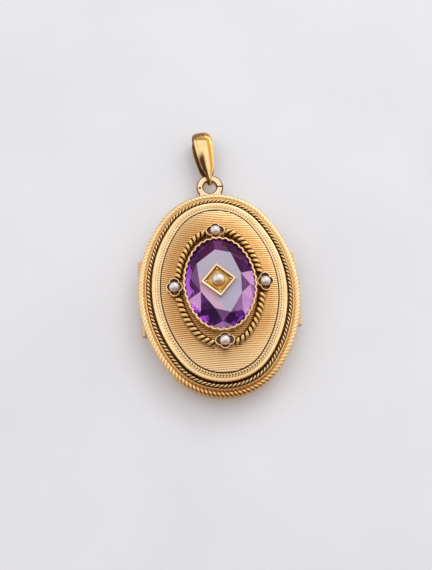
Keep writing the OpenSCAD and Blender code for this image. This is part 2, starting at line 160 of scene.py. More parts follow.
class Oval:
    """Four arcs that meet on the long sides of 3-4-5 triangles."""

    corner = atan2(3, 4)

    def __init__(self, half_width, stretch):
        self.stretch = stretch
        self.side = half_width + 2 * stretch
        self.end = half_width - stretch / 2

    def quarter(self, offset=0.0):
        """Length of a quarter of the oval that lies offset outside this one."""
        return (self.side + offset) * self.corner + (self.end + offset) * (pi / 2 - self.corner)

    def places(self, shares, offset=0.0):
        """Places at shares of the way round, as rows of x, y and heading out of the oval.
        The shares are measured on the oval that lies offset outside this one."""
        side_run = (self.side + offset) * self.corner
        quarter = self.quarter(offset)
        run = shares * 4 * quarter
        quadrant = np.floor(run / quarter + 1e-9).astype(int)
        rest = run - quadrant * quarter
        way = np.where(quadrant % 2 == 0, rest, quarter - rest)
        on_side = way < side_run
        end_turn = self.corner + (way - side_run) / (self.end + offset)
        turn = np.where(on_side, way / (self.side + offset), end_turn)
        x = np.where(on_side, self.side * np.cos(turn) - 2 * self.stretch, self.end * np.cos(turn))
        y = np.where(on_side, self.side * np.sin(turn), self.end * np.sin(turn) + 1.5 * self.stretch)
        quadrant = quadrant % 4
        left = (quadrant == 1) | (quadrant == 2)
        heading = np.choose(quadrant, [turn, pi - turn, pi + turn, -turn])
        return joined(np.where(left, -x, x), np.where(quadrant >= 2, -y, y), heading)

    def half_width_at(self, y, offset):
        """Half the width of the oval offset outside this one, at a distance along it."""
        y = abs(y)
        side, end = self.side + offset, self.end + offset
        if y <= side * sin(self.corner):
            return sqrt(side ** 2 - y ** 2) - 2 * self.stretch
        return sqrt(max(end ** 2 - (y - 1.5 * self.stretch) ** 2, 0))


PANEL = Oval(PANEL_HALF_WIDTH, PANEL_STRETCH)
BEZEL = Oval(STONE_HALF_WIDTH + 0.37, STONE_STRETCH)
WREATH = Oval(STONE_HALF_WIDTH + 1.37, 3.5)
DOME_ALONG, DOME_ACROSS = [
    (half ** 2 + DOME_RISE ** 2) / (2 * DOME_RISE) for half in (PANEL_HALF_LENGTH, PANEL_HALF_WIDTH)
]


def dome_z(x, y):
    """Height of the domed panel: the top of a barrel that lies along Y."""
    reach = DOME_ACROSS - DOME_ALONG + np.sqrt(DOME_ALONG ** 2 - y ** 2)
    return EDGE_Z + DOME_RISE - DOME_ACROSS + np.sqrt(reach ** 2 - x ** 2)


def near_end_of(places):
    """How much each place faces the near end of the locket, from 0 to 1."""
    return held(-np.sin(places[:, 2, None])) ** 2


def smooth_table(at, places, values):
    """Smooth curve through a short table."""
    places, values = np.array(places, float), np.array(values, float)
    slopes = np.gradient(values, places)
    k = np.clip(np.searchsorted(places, at) - 1, 0, len(places) - 2)
    span = places[k + 1] - places[k]
    t = held((at - places[k]) / span)
    return (
        (2 * t ** 3 - 3 * t ** 2 + 1) * values[k] + (t ** 3 - 2 * t ** 2 + t) * span * slopes[k]
        + (3 * t ** 2 - 2 * t ** 3) * values[k + 1] + (t ** 3 - t ** 2) * span * slopes[k + 1]
    )


def rounded(corners, steps=4, closed=True):
    """Profile through corners given as rows of out, up, cut and dark.
    Each corner is a curve that starts cut before it, and dark is how dark the gold is there: dirt in its
    hollows, and painted shade under and between parts."""
    corners = np.array(corners, float)
    longest_cut = 0.45
    points = []
    for i, corner in enumerate(corners):
        at_end = not closed and i in (0, len(corners) - 1)
        if corner[2] == 0 or at_end:
            points.append(corner)
            continue
        before_it = corners[i - 1] - corner
        after_it = corners[(i + 1) % len(corners)] - corner
        start = corner + before_it * min(corner[2] / np.hypot(*before_it[:2]), longest_cut)
        end = corner + after_it * min(corner[2] / np.hypot(*after_it[:2]), longest_cut)
        for t in np.linspace(0, 1, steps + 1):
            points.append((1 - t) ** 2 * start + 2 * t * (1 - t) * corner + t ** 2 * end)
    return np.array(points)[:, [0, 1, 3]]


def with_band(low_part, band, high_part):
    """Sections of out, up and dark: an engraved band that differs from place to place,
    between two plain parts that don't."""
    low, high = [np.broadcast_to(part, (len(band),) + part.shape) for part in (low_part, high_part)]
    return np.concatenate([low, band, high], 1)


def swept(places, section):
    """Points of a section of out and up, carried to each place. It may differ from place to place."""
    x, y, heading = places.T[..., None]
    return joined(*around((x, y), section[..., 0], heading), section[..., 1])


# Meshes

def add_object(name, data):
    """Adds an object to the scene."""
    thing = bpy.data.objects.new(name, data)
    bpy.context.scene.collection.objects.link(thing)
    return thing


def mark(mesh, domain, **marks):
    """Stores values on the points or faces of a mesh, where its material finds them."""
    for title, values in marks.items():
        layer = mesh.attributes.new(title, "FLOAT", domain)
        layer.data.foreach_set("value", np.array(values, np.float32))


def smooth(mesh, sharp):
    """Smooths a mesh. Edges that turn more than sharp degrees stay crisp."""
    mesh.polygons.foreach_set("use_smooth", np.ones(len(mesh.polygons), bool))
    mesh.set_sharp_from_angle(angle=radians(sharp))


class Shape:
    """Points and faces of one piece, in millimetres, with how dark and how warm each point is."""

    def __init__(self):
        self.points, self.faces, self.dark, self.warm = [], [], [], []
        self.count = 0

    def grid(self, points, wrap_rows=True, wrap_columns=True, dark=0.0, warm=0.0):
        """Adds a sheet of rows and columns of points, and returns the number of each point."""
        points = np.asarray(points, float)
        rows, columns = points.shape[:2]
        numbers = np.arange(rows * columns).reshape(rows, columns) + self.count
        here = numbers if wrap_rows else numbers[:-1]
        below = np.roll(numbers, -1, 0) if wrap_rows else numbers[1:]
        if wrap_columns:
            quads = [here, np.roll(here, -1, 1), np.roll(below, -1, 1), below]
        else:
            quads = [here[:, :-1], here[:, 1:], below[:, 1:], below[:, :-1]]
        self.faces += np.stack(quads, -1).reshape(-1, 4).tolist()
        self.points.append(points.reshape(-1, 3))
        for values, value in ((self.dark, dark), (self.warm, warm)):
            values.append(np.broadcast_to(value, (rows, columns)).reshape(-1))
        self.count += rows * columns
        return numbers

    def cap(self, *loops):
        """Adds one flat face over each loop of points."""
        self.faces += [loop.tolist() for loop in loops]

    def tube(self, points, **looks):
        """Adds a closed body: rows of loops, with the first and the last one capped."""
        numbers = self.grid(points, wrap_rows=False, **looks)
        self.cap(numbers[0], numbers[-1])

    def turned(self, middle, profile, sides, dark):
        """Adds a closed round body that stands on a middle, from rows of radius and height."""
        self.tube([joined(*around(middle, r, full_turn(sides)), z) for r, z in profile], dark=dark)

    def build(self, name, sharp=35.0):
        """Makes the mesh object."""
        mesh = bpy.data.meshes.new(name)
        mesh.from_pydata((np.concatenate(self.points) * MM).tolist(), [], self.faces)
        mark(mesh, "POINT", dark=np.concatenate(self.dark), warm=np.concatenate(self.warm))
        outward = bmesh.new()
        outward.from_mesh(mesh)
        bmesh.ops.recalc_face_normals(outward, faces=outward.faces)
        outward.to_mesh(mesh)
        outward.free()
        smooth(mesh, sharp)
        return add_object(name, mesh)


# Materials

class Look:
    """Shader tree of a material or of the world, with short ways to add nodes to it."""

    def __init__(self, owner, coordinates="Object", shader="Principled BSDF"):
        owner.use_nodes = True
        self.owner, self.tree = owner, owner.node_tree
        self.shader = self.tree.nodes[shader]
        self.place = self.add("TexCoord").outputs[coordinates]

    def give(self, socket, value):
        """Gives a socket a plain value or the output of another node."""
        if isinstance(value, bpy.types.NodeSocket):
            self.tree.links.new(value, socket)
        else:
            socket.default_value = (*value, 1) if socket.type == "RGBA" else value

    def dress(self, node, **values):
        """Sets properties and inputs of a node by their names."""
        for key, value in values.items():
            if hasattr(node, key):
                setattr(node, key, value)
            else:
                self.give(node.inputs[key.replace("_", " ")], value)
        return node

    def add(self, kind, **values):
        """Adds a node."""
        return self.dress(self.tree.nodes.new("ShaderNode" + kind), **values)

    def attribute(self, name):
        """Value that mark stored on the mesh."""
        return self.add("Attribute", attribute_name=name).outputs["Fac"]

    def axes(self):
        """Coordinates of each point, by axis."""
        return self.add("SeparateXYZ", Vector=self.place).outputs

    def noise(self, spots_per_mm, detail=3.0, stretch=(1, 1, 1)):
        """Soft random spots."""
        place = self.add("Mapping", Vector=self.place, Scale=stretch).outputs["Vector"]
        return self.add("TexNoise", Vector=place, Scale=spots_per_mm / MM, Detail=detail).outputs["Fac"]

    def ranged(self, value, low, high, to_low=0.0, to_high=1.0):
        """Value moved from one range to another, and held inside it."""
        node = self.add("MapRange", interpolation_type="SMOOTHSTEP", Value=value,
                        From_Min=low, From_Max=high, To_Min=to_low, To_Max=to_high)
        return node.outputs["Result"]

    def mixed(self, factor, first, second):
        """Mix of two colours."""
        node = self.add("Mix", data_type="RGBA", Factor=factor)
        self.give(node.inputs[6], first)
        self.give(node.inputs[7], second)
        return node.outputs[2]

    def result(self, operation, first, second):
        """Result of an operation on two values."""
        node = self.add("Math", operation=operation)
        self.give(node.inputs[0], first)
        self.give(node.inputs[1], second)
        return node.outputs["Value"]

    def bump(self, height, depth):
        """Relief of a depth in millimetres."""
        node = self.add("Bump", Strength=1.0, Distance=depth * MM, Height=height)
        self.dress(self.shader, Normal=node.outputs["Normal"])


def new_look(name, **constants):
    """Look of a new material. The constants are the same all over its surface."""
    look = Look(bpy.data.materials.new(name))
    look.dress(look.shader, **constants)
    return look


def gold(slot, colour, warm_colour, roughness, scratch_depth):
    """Worn yellow gold: mottled, softly scratched, and darker and rougher where a point is marked dark. The
    dark marks hold patina in hollows, and also painted shade and painted reflections.
    """
    patina_and_shade, patina_roughness = (0.10, 0.035, 0.012), 0.3
    look = new_look(slot, Metallic=1.0)
    mottle = look.ranged(look.noise(0.5), 0.35, 0.7, 0.0, 0.3)
    # The warm marks are partly the gold's own tone and partly painted shade and painted reflection.
    clean = look.mixed(look.result("MAXIMUM", mottle, look.attribute("warm")), colour, warm_colour)
    patches = look.ranged(look.noise(2.5), 0.2, 0.6, 0.75, 1.0)
    # Dark marks: patina in hollows, painted shade and painted reflections, mixed towards the dark colour.
    dirt_and_shade = look.result("MULTIPLY", look.attribute("dark"), patches)
    worn = look.ranged(look.noise(1.6, detail=5.0), 0.3, 0.7, roughness * 0.75, roughness * 1.4)
    rough = look.result("ADD", worn, look.result("MULTIPLY", dirt_and_shade, patina_roughness))
    look.dress(look.shader, Base_Color=look.mixed(dirt_and_shade, clean, patina_and_shade), Roughness=rough)
    look.bump(look.noise(6.0, detail=4.0, stretch=(1, 0.35, 1)), scratch_depth)
    return look.owner


def pearl_material():
    """Nacre: pale, lustrous, with a faint change of tint, and painted warm on its near side: a painted
    reflection of the gold.
    """
    # warm is the colour of the painted reflection of the gold.
    bluish, rosy, warm = (0.74, 0.71, 0.75), (0.85, 0.74, 0.65), (0.84, 0.40, 0.12)
    look = new_look("pearl", Metallic=0.6, Roughness=0.2, Coat_Weight=0.6, Coat_Roughness=0.06)
    nacre = look.mixed(look.ranged(look.noise(0.9), 0.35, 0.65), bluish, rosy)
    look.dress(look.shader, Base_Color=look.mixed(look.attribute("warm"), nacre, warm))
    look.bump(look.noise(4.0), 0.004)
    return look.owner


def amethyst_material():
    """Clear violet quartz, redder at its far end. Its facets are painted from dark to glaring, by their
    flash: painted shade and painted glints.
    The table is painted milky, with a pink corner: a painted reflection."""
    dark, violet, red_violet = (0.14, 0.02, 0.30), (0.46, 0.10, 0.80), (0.85, 0.10, 0.82)
    lilac, milk, pink = (1.0, 0.58, 1.0), (0.72, 0.69, 0.82), (1.0, 0.66, 0.82)
    look = new_look("amethyst", Roughness=0.0, IOR=1.55, Specular_Tint=(0.45, 0.2, 0.5))
    flash, haze, axes = look.attribute("flash"), look.attribute("haze"), look.axes()

    def beyond(x_share, y_share, start, stop):
        """Rises from 0 to 1 between two distances in millimetres, measured along a slanted direction."""
        across = look.result("MULTIPLY", axes["X"], x_share)
        along = look.result("MULTIPLY", axes["Y"], y_share)
        return look.ranged(look.result("ADD", across, along), start * MM, stop * MM)

    deep = look.mixed(beyond(0, 1, 1.0, 6.0), violet, red_violet)
    # Each facet is painted by its flash, from dark to glaring lilac: painted shade and painted glints.
    shade = look.mixed(look.ranged(flash, 0.0, 0.3), dark, deep)
    clear = look.mixed(look.ranged(flash, 0.3, 0.9), shade, lilac)
    # The table is painted milky with a pink corner: a painted reflection.
    blush = look.result("MULTIPLY", beyond(-0.66, -0.75, 1.2, 1.7), beyond(-0.9, -0.43, 1.6, 2.2))
    painted_glare = look.result("MAXIMUM", haze, look.ranged(flash, 0.45, 0.95, 0.0, 0.8))
    look.dress(look.shader, Base_Color=look.mixed(haze, clear, look.mixed(blush, milk, pink)),
               Transmission_Weight=look.ranged(painted_glare, 0.0, 1.0, 0.95, 0.35))
    return look.owner


def foil_material():
    """Violet foil that backs the stone in its closed setting, painted brighter under some facets: painted
    glints.
    """
    look = new_look("stone_foil", Metallic=1.0, Roughness=0.05)
    ripple = look.ranged(look.noise(0.4), 0.35, 0.65, 0.0, 0.25)
    light = look.result("ADD", look.attribute("flash"), ripple)
    look.dress(look.shader, Base_Color=look.mixed(light, (0.10, 0.01, 0.24), (1.0, 0.80, 1.0)))
    return look.owner


def floor_material():
    """Pale pad with a fine soft grain."""
    look = new_look("pale_floor", Roughness=0.75)
    shade = look.ranged(look.noise(0.03), 0.3, 0.7)
    look.dress(look.shader, Base_Color=look.mixed(shade, (0.82, 0.82, 0.845), (0.86, 0.86, 0.88)))
    look.bump(look.noise(2.0), 0.02)
    return look.owner


# Slot, colour, warm colour, roughness and depth of the scratches
GOLDS = (
    ("gold_cover", (0.99, 0.74, 0.41), (0.90, 0.45, 0.13), 0.20, 0.004),
    ("gold_case", (0.96, 0.70, 0.43), (0.88, 0.50, 0.22), 0.22, 0.004),
    ("gold_rope", (0.94, 0.64, 0.28), (0.76, 0.46, 0.17), 0.20, 0.004),
    ("gold_setting", (0.98, 0.72, 0.44), (0.95, 0.52, 0.12), 0.16, 0.004),
    ("gold_bail", (1.0, 0.77, 0.38), (0.82, 0.37, 0.05), 0.08, 0.0005),
    ("gold_frame", (0.92, 0.68, 0.38), (0.88, 0.56, 0.24), 0.24, 0.004),
    ("gold_pin", (0.86, 0.54, 0.28), (0.80, 0.42, 0.18), 0.26, 0.004),
)
MATERIALS = {slot: gold(slot, *values) for slot, *values in GOLDS}
MATERIALS["pearl"] = pearl_material()
MATERIALS["amethyst"] = amethyst_material()
FOIL = foil_material()

# Node, slot and body of most pieces
CASE = ("back_case", "gold_case", "case")
COVER = ("cover", "gold_cover", "cover")


def paint(piece, slot):
    """Gives a piece its finish."""
    piece.data.materials.clear()
    piece.data.materials.append(MATERIALS[slot])


def mount(piece, node, slot, body="cover"):
    """Gives a piece its body and its finish, and hides the node that it stands for."""
    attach(piece, body)
    paint(piece, slot)
    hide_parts(node)


def dress_node(name, slot):
    """Gives a node of the frame its finish and smooth faces."""
    smooth(frame["nodes"][name].data, 30)
    paint(frame["nodes"][name], slot)


# Hinge and lips

def clear_of_hinge(points, low_half):
    """Moves the points of a wall out of the hinge's notch, which is round in the back
    and square in the cover."""
    x, y, z = points[..., 0], points[..., 1], points[..., 2]
    near = (abs(y) < NOTCH_HALF_LENGTH) & (x < HINGE_X + NOTCH_RADIUS)
    rise = z - SEAM_Z
    square_play = 0.02
    if low_half:
        inside = near & (abs(rise) < NOTCH_RADIUS)
        depth = np.sqrt(np.clip(NOTCH_RADIUS ** 2 - rise ** 2, 0, None))
    else:
        inside = near & (rise < RIM_LOW_Z - SEAM_Z - square_play)
        depth = NOTCH_RADIUS - square_play
    points[..., 0] = np.where(inside, np.maximum(x, HINGE_X + depth), x)
    return points


def knuckles(name, indexes, low, high, out, target):
    """Rolled knuckles along the hinge, each with the tab that joins it to its wall.
    The tabs reach from low to high, and out past the pin's axis."""
    half, bevel = (KNUCKLE_LENGTH - KNUCKLE_GAP) / 2, 0.06
    turns = full_turn(40)
    left, right = HINGE_X - out, HINGE_X + 0.85
    tab = rounded([(left, low, bevel, 0), (right, low, 0, 0), (right, high, 0, 0), (left, high, bevel, 0)])
    shape = Shape()
    for index in indexes:
        middle = index * KNUCKLE_LENGTH
        rows = []
        for along, inset in ((-half, bevel), (-half + bevel, 0), (half - bevel, 0), (half, bevel)):
            x, z = around((HINGE_X, SEAM_Z), KNUCKLE_RADIUS - inset, turns)
            rows.append(joined(x, middle + along, z))
        # The knuckles are painted darker all round: painted shade.
        shape.tube(rows, dark=0.35)
        shape.tube([joined(tab[:, 0], middle + along, tab[:, 1]) for along in (-half, half)])
    mount(shape.build(name), *target)


def thumb_lip(name, low, high, target):
    """Straight lip along the right side, where a nail opens the locket."""
    corner, bevel = 0.25, 0.07
    outer = PANEL_HALF_WIDTH + WALL_U + 0.1
    straight = LIP_HALF_LENGTH - corner
    ends = straight + corner * np.sin(np.linspace(0, pi / 2, 8))
    rows = []
    for y in np.concatenate([-ends[::-1], np.linspace(-1, 1, 31)[1:-1] * straight, ends]):
        past_straight = max(abs(y) - straight, 0)
        reach = outer - corner + sqrt(max(corner ** 2 - past_straight ** 2, 0))
        start = PANEL.half_width_at(y, 3.2)
        # Rows of out, up, cut and dark: the lip is painted darker, most where it meets the wall: painted
        # shade.
        section = rounded([
            (start, low, 0, 0.6), (reach, low, bevel, 0.4),
            (reach, high, bevel, 0.25), (start, high, 0, 0.6),
        ])
        rows.append(joined(section[:, 0], y, section[:, 1]))
    shape = Shape()
    shape.tube(rows, dark=section[:, 2])
    mount(shape.build(name), *target)


# Back

def case_shell():
    """Bowl of the back, with its bead, its ledge for the frame and the collar that the cover closes over."""
    count, inner = 720, -2.0
    curve_radius, curve_start = 3.89, 0.3
    turns = np.radians(np.linspace(4, 60, 12))
    section = np.concatenate([
        [(inner, 0, 0), (curve_start, 0, 0)],
        joined(curve_start + curve_radius * np.sin(turns), curve_radius * (1 - np.cos(turns)), 0),
        rounded([
            (WALL_U - 0.05, 2.0, 0, 0.5),
            (WALL_U + 0.1, 2.07, 0.05, 0), (WALL_U + 0.1, 2.27, 0.05, 0),
            (WALL_U, 2.33, 0.02, 0.5), (WALL_U, 2.5, 0, 0), (WALL_U, 2.62, 0, 0), (WALL_U, 2.75, 0, 0),
            (WALL_U, SEAM_Z, 0.05, 0.1),
            (COLLAR_U + 0.3, SEAM_Z, 0.02, 0.7), (COLLAR_U + 0.3, COLLAR_TOP_Z, 0.06, 0),
            (COLLAR_U, COLLAR_TOP_Z, 0.06, 0), (COLLAR_U, LEDGE_Z, 0.03, 0.6),
            (COLLAR_U - 0.6, LEDGE_Z, 0.04, 0), (COLLAR_U - 0.6, LEDGE_Z - 0.47, 0.08, 0.6),
            (0.4, SHEET, 0.3, 0.2), (inner, SHEET, 0, 0),
        ], closed=False),
    ])
    places = PANEL.places(np.arange(count) / count, WALL_U)
    shape = Shape()
    points = clear_of_hinge(swept(places, section), True)
    numbers = shape.grid(points, wrap_columns=False, dark=section[:, 2])
    shape.cap(numbers[:, 0], numbers[:, -1])
    mount(shape.build("case_shell"), *CASE)


def cut_away(piece, cutters):
    """Cuts cutters out of a piece, and removes them."""
    for cutter in cutters:
        cut = piece.modifiers.new("cut", "BOOLEAN")
        cut.operation = "DIFFERENCE"
        cut.solver = "EXACT"
        cut.object = cutter
    bpy.context.view_layer.update()
    whole = piece.evaluated_get(bpy.context.evaluated_depsgraph_get())
    mesh = bpy.data.meshes.new_from_object(whole)
    piece.modifiers.clear()
    piece.data = mesh
    smooth(mesh, 35)
    for cutter in cutters:
        bpy.data.objects.remove(cutter)


def hanging_ring():
    """Fixed ring that the bail hangs in, on its square foot, with its closing seam and punched pit."""
    groove_dirt_and_shade = 1.4
    half_turn = rounded([
        (0.02, -RING_HALF_HEIGHT, 0.2, 0.3), (0, RING_HALF_HEIGHT - 0.2, 0.1, 0.2),
        (0.12, RING_HALF_HEIGHT - 0.05, 0.06, groove_dirt_and_shade),
        (0.22, RING_HALF_HEIGHT - 0.04, 0.03, groove_dirt_and_shade),
        (0.26, RING_HALF_HEIGHT, 0.03, 0), (0.4, RING_HALF_HEIGHT, 0, 0),
    ], closed=False)
    inset, up, dark = half_turn.T
    up, dark = np.concatenate([up, up[::-1]]), np.concatenate([dark, dark[::-1]])
    rows = []
    for turn in full_turn(240):
        c, s = cos(turn), sin(turn)
        reach = RING_RADIUS + RING_HALF_WIDTH
        if s < 0:
            foot_reach = min(RING_FOOT_HALF_WIDTH / max(abs(c), 1e-6), (RING_Y - RING_FOOT_Y) / abs(s))
            reach = max(reach, foot_reach)
        out = np.concatenate([RING_HOLE_RADIUS + inset, reach - inset[::-1]])
        rows.append(joined(out * c, RING_Y + out * s, RING_Z + up))
    shape = Shape()
    shape.grid(rows, dark=dark)
    ring = shape.build("hanging_ring")

    top = RING_Z + RING_HALF_HEIGHT
    bottom, above = top - 0.3, top + 1
    seam_half_width, pit_radius, pit_y = 0.12, 0.2, RING_Y - 0.1
    start, stop = RING_HOLE_RADIUS - 0.2, RING_HOLE_RADIUS + 2 * RING_HALF_WIDTH + 0.4
    outline = ((start, bottom), (start, above), (stop, above), (stop, bottom))
    slit = Shape()
    slit.tube([[(x, RING_Y + side * seam_half_width, z) for x, z in outline] for side in (-1, 1)], dark=1.0)
    pit = Shape()
    pit.turned((-RING_RADIUS, pit_y), ((pit_radius, bottom), (pit_radius, above)), 24, 1.0)
    cut_away(ring, [slit.build("slit"), pit.build("pit")])
    slack = 0.01
    # The walls of the seam and of the pit are painted near black: painted shade.
    stored = ring.data.attributes["dark"].data
    for vertex in ring.data.vertices:
        x, y, z = vertex.co / MM
        in_slit = x > 0 and abs(y - RING_Y) < seam_half_width + slack
        in_pit = hypot(x + RING_RADIUS, y - pit_y) < pit_radius + slack
        if z > bottom - slack and (in_slit or in_pit):
            stored[vertex.index].value = groove_dirt_and_shade
    mount(ring, *CASE)


# Cover

def cover_rim():
    """Skirt of the cover: rim, engraved band of slanted leaves, cavetto, and the channel of the border rope.
    The near end is engraved deeper, and it is painted darker and warmer: painted shade."""
    leaves, columns_per_leaf = 140, 10
    leaf_u, leaf_z, leaf_radius, leaf_depth = 3.46, RIM_TOP_Z - 0.03, 0.61, 0.06
    slant, inner_wall = 1.3, 1.0
    near_end_shade, warmth, leaf_warmth, channel_warmth = 0.16, 0.1, 0.7, 0.15
    low_part = rounded([
        (inner_wall, CHANNEL_Z, 0, 0), (inner_wall, COVER_LEDGE_Z, 0.04, 0.4),
        (COLLAR_U, COVER_LEDGE_Z, 0.03, 0.5), (COLLAR_U, COLLAR_TOP_Z + 0.08, 0.04, 0),
        (COLLAR_U + 0.35, COLLAR_TOP_Z + 0.08, 0.03, 0.6), (COLLAR_U + 0.35, SEAM_Z, 0.05, 0),
        (WALL_U, SEAM_Z, 0.07, 0.2), (WALL_U, RIM_LOW_Z - 0.02, 0.03, 0.8),
        (WALL_U + 0.35, RIM_LOW_Z, 0.1, 0), (WALL_U + 0.35, RIM_TOP_Z - 0.07, 0.06, 0),
        (leaf_u + leaf_radius + 0.01, RIM_TOP_Z, 0, 0.8),
    ], 2, closed=False)
    high_part = rounded([
        (2.9, CHANNEL_Z - 0.24, 0, 0.6), (2.82, CHANNEL_Z - 0.16, 0.08, 0.1),
        (2.7, CHANNEL_Z + 0.16, 0.12, 0), (2.58, CHANNEL_Z + 0.2, 0.05, 0),
        (2.5, CHANNEL_Z, 0.05, 1), (inner_wall, CHANNEL_Z, 0, 1),
    ], 3, closed=False)
    turns = np.radians(np.linspace(8, 150, 20))
    across = np.linspace(0, 1, len(turns))
    count = leaves * columns_per_leaf
    shares = np.arange(count) / count
    places = PANEL.places(shares, leaf_u)
    near_end = near_end_of(places)
    phase = shares[:, None] * leaves + slant * across
    ridge = abs(np.sin(pi * phase)) ** 0.75
    window = np.sqrt(np.sin(pi * across))
    radius = leaf_radius - leaf_depth * (0.6 + 0.4 * near_end) * (1 - ridge) * window
    # The leaf cuts hold dirt, and are painted darker towards the near end: painted shade.
    cuts = held(1 + 0.3 * near_end - 1.5 * ridge) * window * (0.7 + 0.8 * near_end)
    section = with_band(low_part, joined(*around((leaf_u, leaf_z), radius, turns), cuts), high_part)
    # Towards the near end the band is painted darker and warmer: painted shade.
    near_shade_warmth = np.repeat([leaf_warmth, channel_warmth], [len(low_part) + len(turns), len(high_part)])
    shape = Shape()
    points = clear_of_hinge(swept(places, section), False)
    shape.grid(points, dark=section[..., 2] + near_end_shade * near_end, warm=warmth + near_shade_warmth * near_end)
    mount(shape.build("cover_rim"), *COVER)


def cover_border():
    """Raised band round the panel, engraved with a wheat pattern, painted darker and warmer at the near end:
    painted shade.
    """
    grains, columns_per_grain = 160, 9
    wheat_from, wheat_to, wheat_depth, wheat_crown = 0.78, 0.04, 0.055, 0.06
    slant, spine_width, edge_width = 1.3, 0.07, 0.08
    near_cut_shade, near_end_shade, near_shade_warmth = 1.4, 0.1, 0.4
    low_part = rounded([
        (DOME_U, PLATE_LOW_Z, 0, 0), (1.0, PLATE_LOW_Z, 0, 0), (1.0, CHANNEL_Z, 0, 0),
        (1.35, CHANNEL_Z, 0, 1), (1.35, CHANNEL_Z + 0.35, 0.1, 1),
        (1.52, EDGE_Z - 0.6, 0.1, 0.4), (1.52, EDGE_Z - 0.3, 0.12, 0),
        (1.42, EDGE_Z, 0.16, 0), (0.86, EDGE_Z + 0.03, 0.08, 0), (0.82, EDGE_Z - 0.03, 0.03, 0.6),
        (wheat_from + 0.02, EDGE_Z - 0.02, 0, 0.3),
    ], closed=False)
    high_part = rounded([
        (wheat_to - 0.03, EDGE_Z + 0.02, 0, 0.2), (-0.05, EDGE_Z - 0.02, 0.03, 0.5),
        (-0.06, PLATE_TOP_Z, 0.02, 1), (DOME_U, PLATE_TOP_Z, 0, 1),
    ], closed=False)
    across = np.linspace(0, 1, 17)
    count = grains * columns_per_grain
    shares = np.arange(count) / count
    places = PANEL.places(shares, 0.5)
    near_end = near_end_of(places)
    phase = shares[:, None] * grains + slant * abs(across - 0.5)
    ridge = abs(np.sin(pi * phase)) ** 0.8
    spine = past(abs(across - 0.5), 0, spine_width)
    edge = past(np.minimum(across, 1 - across), 0, edge_width)
    relief = (1 - ridge * spine) * edge
    smooth_z = EDGE_Z + wheat_crown * np.sin(pi * (0.3 + 0.7 * across))
    wheat_u = wheat_from + (wheat_to - wheat_from) * across
    band = joined(wheat_u, smooth_z - wheat_depth * relief, held(1.2 * relief - 0.25))
    section = with_band(low_part, band, high_part)
    # Towards the near end the wheat cuts and the band are painted darker and warmer: painted shade.
    dark = section[..., 2] * (1 + near_cut_shade * near_end) + near_end_shade * near_end
    shape = Shape()
    shape.grid(swept(places, section), dark=dark, warm=near_shade_warmth * near_end)
    mount(shape.build("cover_border"), *COVER)


def cover_panel():
    """Domed panel with straight engine-turned lines. Round the wreath it is painted darker and warmer, most
    of all
    inside it: painted shade and a painted warm reflection of the gold. Towards the near end the grooves and
    that shade are painted lighter."""
    pitch, steps, columns, depth = 0.40, 6, 110, 0.04
    halo_shade, warmth, halo_shade_warmth, foot_darkness = 0.2, 0.14, 0.7, 0.2
    tip = PANEL_HALF_LENGTH + DOME_U - 0.004
    rows = int(tip / pitch * steps)
    ys = np.concatenate([[-tip], np.arange(-rows, rows + 1) * pitch / steps, [tip]])
    widths = np.array([PANEL.half_width_at(y, DOME_U) for y in ys])
    across = np.sin(np.linspace(-pi / 2, pi / 2, columns + 1))
    x = widths[:, None] * across
    y = np.broadcast_to(ys[:, None], x.shape)
    ridge = abs(np.sin(pi * y / pitch)) ** 0.8
    z = dome_z(x, y) - depth * (1 - ridge)
    well = np.array([BEZEL.half_width_at(row, -0.5) for row in ys])
    z = np.where(abs(x) < well[:, None], PLATE_TOP_Z, z)

    # Round the wreath, most of all inside it: painted shade and a painted warm reflection of the gold,
    # lighter towards the near end.
    wreath_way = np.hypot(x / (WREATH_HIGH[0] + 0.4), y / (WREATH_HIGH[1] + 0.4))
    near_end = past(-y / PANEL_HALF_LENGTH, 0.45, 0.3)
    halo = before(wreath_way, 1.38, 0.3) * (1 - 0.4 * near_end)
    inside = before(wreath_way, 1, 0.1)
    # The grooves hold dirt, and are painted lighter towards the near end.
    grooves = held((1 - ridge) * 1.05 - 0.13) * (1 - 0.5 * near_end)
    shape = Shape()
    top = shape.grid(joined(x, y, z), wrap_rows=False, wrap_columns=False,
                     dark=grooves + halo_shade * (halo + inside), warm=warmth + halo_shade_warmth * halo)
    outline = np.concatenate([top[0, :-1], top[:-1, -1], top[-1, :0:-1], top[:0:-1, 0]])
    foot = shape.points[0][outline]
    foot[:, 2] = PLATE_LOW_Z
    low = shape.grid(foot[None], wrap_rows=False, wrap_columns=False, dark=foot_darkness)[0]
    shape.faces += np.stack([outline, np.roll(outline, -1), np.roll(low, -1), low], -1).tolist()
    shape.cap(low)
    mount(shape.build("cover_panel"), *COVER)


# Ropes

def twist_strands(shape, places, out, up, radius, twist, sides, fullness, groove, closed):
    """Two strands twisted together along places. Up is the height of the rope's middle at each place.
    Fullness is a strand's half width in radii, and groove is how dark the strands are painted between them
    and on their undersides: dirt and painted shade."""
    spin = full_turn(sides)
    across = 0.5 * radius * np.cos(spin)
    along = fullness * radius * np.sin(spin)
    reach = 0.5 * radius + across
    warmth = 0.2 if closed else 0.75
    add = shape.grid if closed else shape.tube
    for strand in (0, pi):
        angle = twist + strand
        section_out = out + np.outer(np.cos(angle), reach) - np.outer(np.sin(angle), along)
        section_up = up[:, None] + np.outer(np.sin(angle), reach) + np.outer(np.cos(angle), along)
        rise = (section_up - up[:, None]) / radius
        # Darker low on each strand and between the strands: dirt, and painted shade on the undersides.
        dark = held(groove - 2.2 * np.minimum(rise, 1.3 * reach / radius - 0.35))
        add(swept(places, joined(section_out, section_up)), dark=dark, warm=warmth)


